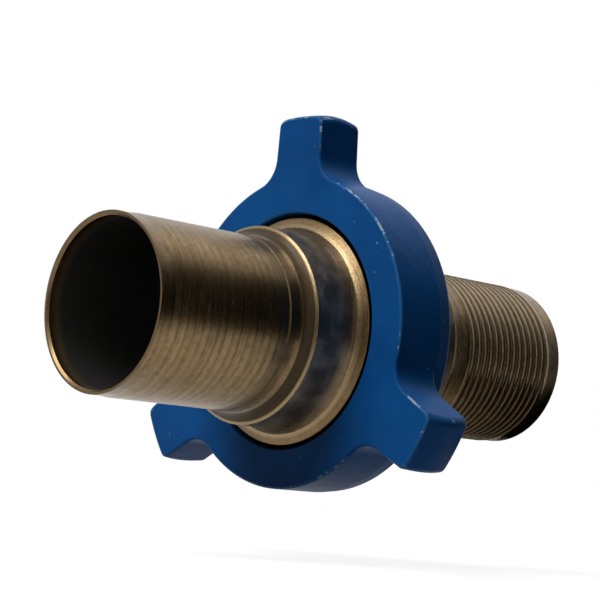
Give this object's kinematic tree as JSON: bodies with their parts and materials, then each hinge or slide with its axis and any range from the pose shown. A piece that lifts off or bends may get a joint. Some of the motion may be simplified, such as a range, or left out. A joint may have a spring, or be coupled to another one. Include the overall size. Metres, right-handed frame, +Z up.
{
  "type": "hammer union",
  "caption": "Quick pipe coupling: a nut with hammer lugs draws a male sub and a threaded female sub together, each with a serrated shank for a clamped hose.",
  "frame": {"origin": "on the flow axis, where the cone of the female seat meets the flow bore", "axes": "X along the flow line, +X out of the female sub's hose shank and -X out of the male sub's; Z up, with the first hammer lug nearly straight up"},
  "size_m": [0.3316, 0.2381, 0.2226],
  "materials": {
    "turned_steel": "turned steel with a bronze-brown satin finish and fine turning marks",
    "painted_casting": "royal blue satin paint over a sand casting, worn pale along its edges",
    "seal_rubber": "matt black moulded rubber"
  },
  "bodies": {
    "female": {"female_sub": "turned_steel", "seal_ring": "seal_rubber"},
    "male": {"male_sub": "turned_steel"},
    "nut": {"wing_nut": "painted_casting"}
  },
  "joints": [
    {"name": "subs_part", "type": "slide", "parent": "female", "child": "male", "axis": [-1, 0, 0], "range_m": [0, 0.02329]},
    {"name": "nut_turn", "type": "hinge", "parent": "male", "child": "nut", "pos_m": [0, 0, 0], "axis": [-1, 0, 0], "range_deg": [0, 990]}
  ],
  "couplings": [
    {"joint": "subs_part", "follows": "nut_turn", "m_per_rad": 0.0013475}
  ]
}
